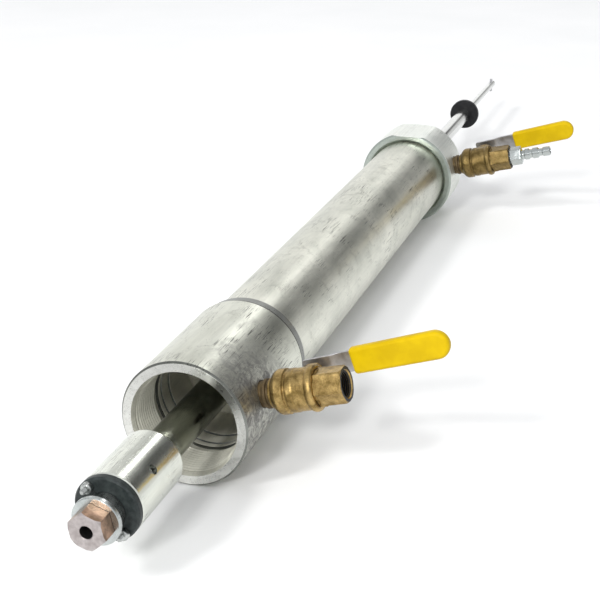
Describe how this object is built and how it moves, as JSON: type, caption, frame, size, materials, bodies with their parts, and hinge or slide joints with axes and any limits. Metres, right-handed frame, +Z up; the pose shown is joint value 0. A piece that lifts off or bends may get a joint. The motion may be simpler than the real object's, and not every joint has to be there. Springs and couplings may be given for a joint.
{
  "type": "pneumatic cylinder",
  "caption": "Through-rod pneumatic cylinder: zinc-plated steel tube with a threaded front collar, a nose on the sliding rod, a capped rear end and brass side ball valves.",
  "frame": {"origin": "centre of the bounding box at the level the cylinder rests on", "axes": "+Y along the tube from the open front collar to the rear, +X towards the side valves, +Z up from the cap's bottom flat"},
  "size_m": [0.238, 1.3604, 0.1183],
  "materials": {
    "zinc_steel": "galvanised, scuffed",
    "bright_steel": "ground and polished",
    "dull_steel": "machined",
    "valve_brass": "forged, as cast skin",
    "bronze": "machined",
    "copper_nut": "machined copper alloy",
    "black_rubber": "matt",
    "slate_packing": "satin",
    "ptfe": "satin",
    "yellow_vinyl": "satin dip"
  },
  "bodies": {
    "barrel": {"barrel_tube": "zinc_steel", "front_collar": "zinc_steel", "rear_cap": "zinc_steel", "rear_air_plug": "bright_steel", "front_gland": "dull_steel", "rear_gland_nut": "dull_steel", "front_valve_body": "valve_brass", "rear_valve_body": "valve_brass", "front_valve_outlet": "valve_brass", "rear_valve_outlet": "valve_brass", "front_packing_nut": "valve_brass", "rear_packing_nut": "valve_brass", "front_bush": "bronze", "rear_bush": "bronze", "rod_seal": "black_rubber", "rod_wiper": "black_rubber", "rear_seal": "black_rubber", "front_seat_inner": "ptfe", "front_seat_outer": "ptfe", "rear_seat_inner": "ptfe", "rear_seat_outer": "ptfe", "front_packing": "ptfe", "rear_packing": "ptfe"},
    "rod": {"front_rod": "bright_steel", "piston": "dull_steel", "piston_seal_front": "black_rubber", "piston_seal_rear": "black_rubber", "piston_wear_ring": "ptfe", "piston_nut": "dull_steel", "rear_rod": "bright_steel", "nose_sleeve": "bright_steel", "nose_pin": "dull_steel", "packing_disc": "slate_packing", "nose_spacer": "dull_steel", "backing_washer": "zinc_steel", "nozzle_nut": "copper_nut", "nose_screw_upper": "dull_steel", "nose_screw_lower": "dull_steel", "bumper_disc": "black_rubber", "bumper_collar": "dull_steel", "tip_rod": "bright_steel", "tip_pin": "dull_steel"},
    "front_handle": {"front_lever": "dull_steel", "front_grip": "yellow_vinyl", "front_lever_nut": "dull_steel", "front_stem": "valve_brass", "front_ball": "bright_steel"},
    "rear_handle": {"rear_lever": "dull_steel", "rear_grip": "yellow_vinyl", "rear_lever_nut": "dull_steel", "rear_stem": "valve_brass", "rear_ball": "bright_steel"}
  },
  "joints": [
    {"name": "rod_slide", "type": "slide", "parent": "barrel", "child": "rod", "axis": [0, 1, 0], "range_m": [-0.25, 0.145]},
    {"name": "front_valve_turn", "type": "hinge", "parent": "barrel", "child": "front_handle", "pos_m": [0.01403, -0.4848, 0.07335], "axis": [0, -1, 0], "range_deg": [-3.4, 86.6]},
    {"name": "rear_valve_turn", "type": "hinge", "parent": "barrel", "child": "rear_handle", "pos_m": [0.01826, 0.1682, 0.07146], "axis": [0.042, -0.9848, -0.1685], "range_deg": [-3.4, 86.6]}
  ]
}
